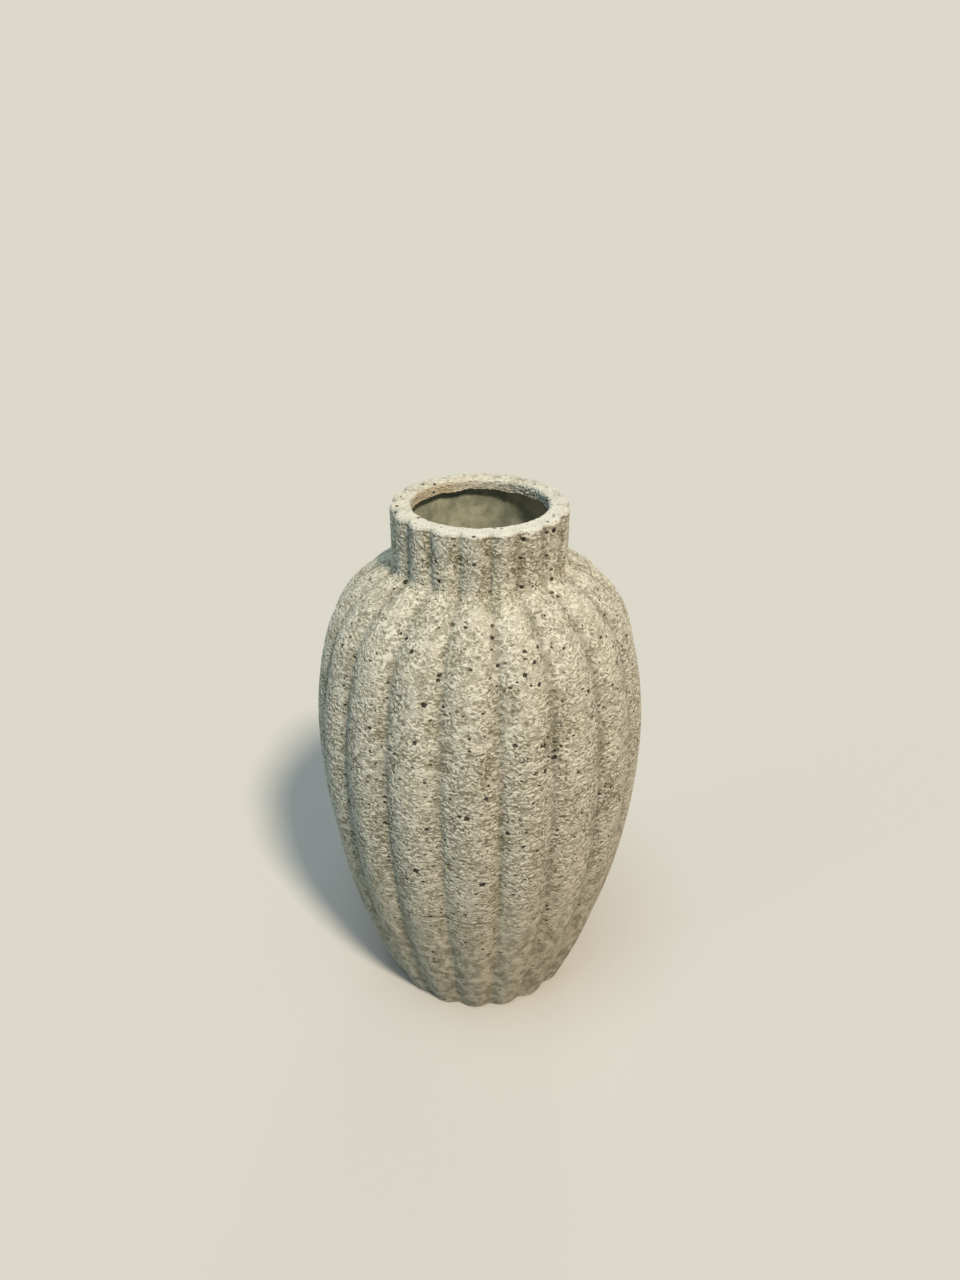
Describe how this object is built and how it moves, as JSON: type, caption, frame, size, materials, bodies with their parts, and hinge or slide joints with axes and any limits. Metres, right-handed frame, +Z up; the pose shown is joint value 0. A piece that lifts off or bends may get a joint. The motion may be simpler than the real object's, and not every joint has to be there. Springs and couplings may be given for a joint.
{
  "type": "urn vase",
  "caption": "Lobed urn vase with a short fluted neck, a turned-in lip and a smooth inner pot, for cut or dried stems; it stands on felt pads.",
  "frame": {"origin": "on the table, under the middle of the foot", "axes": "+Z up along the vase's axis; -Y is the side that the picture shows, with a lobe crest in the middle"},
  "size_m": [0.1958, 0.198, 0.33],
  "materials": {
    "cast_stone": "matt, rough worm-like relief with dark specks",
    "pot_ceramic": "smooth, satin, olive grey",
    "felt": "matt pressed felt"
  },
  "bodies": {
    "root": {"stone_shell": "cast_stone", "inner_pot": "pot_ceramic", "felt_pad_1": "felt", "felt_pad_2": "felt", "felt_pad_3": "felt", "felt_pad_4": "felt"}
  },
  "joints": []
}
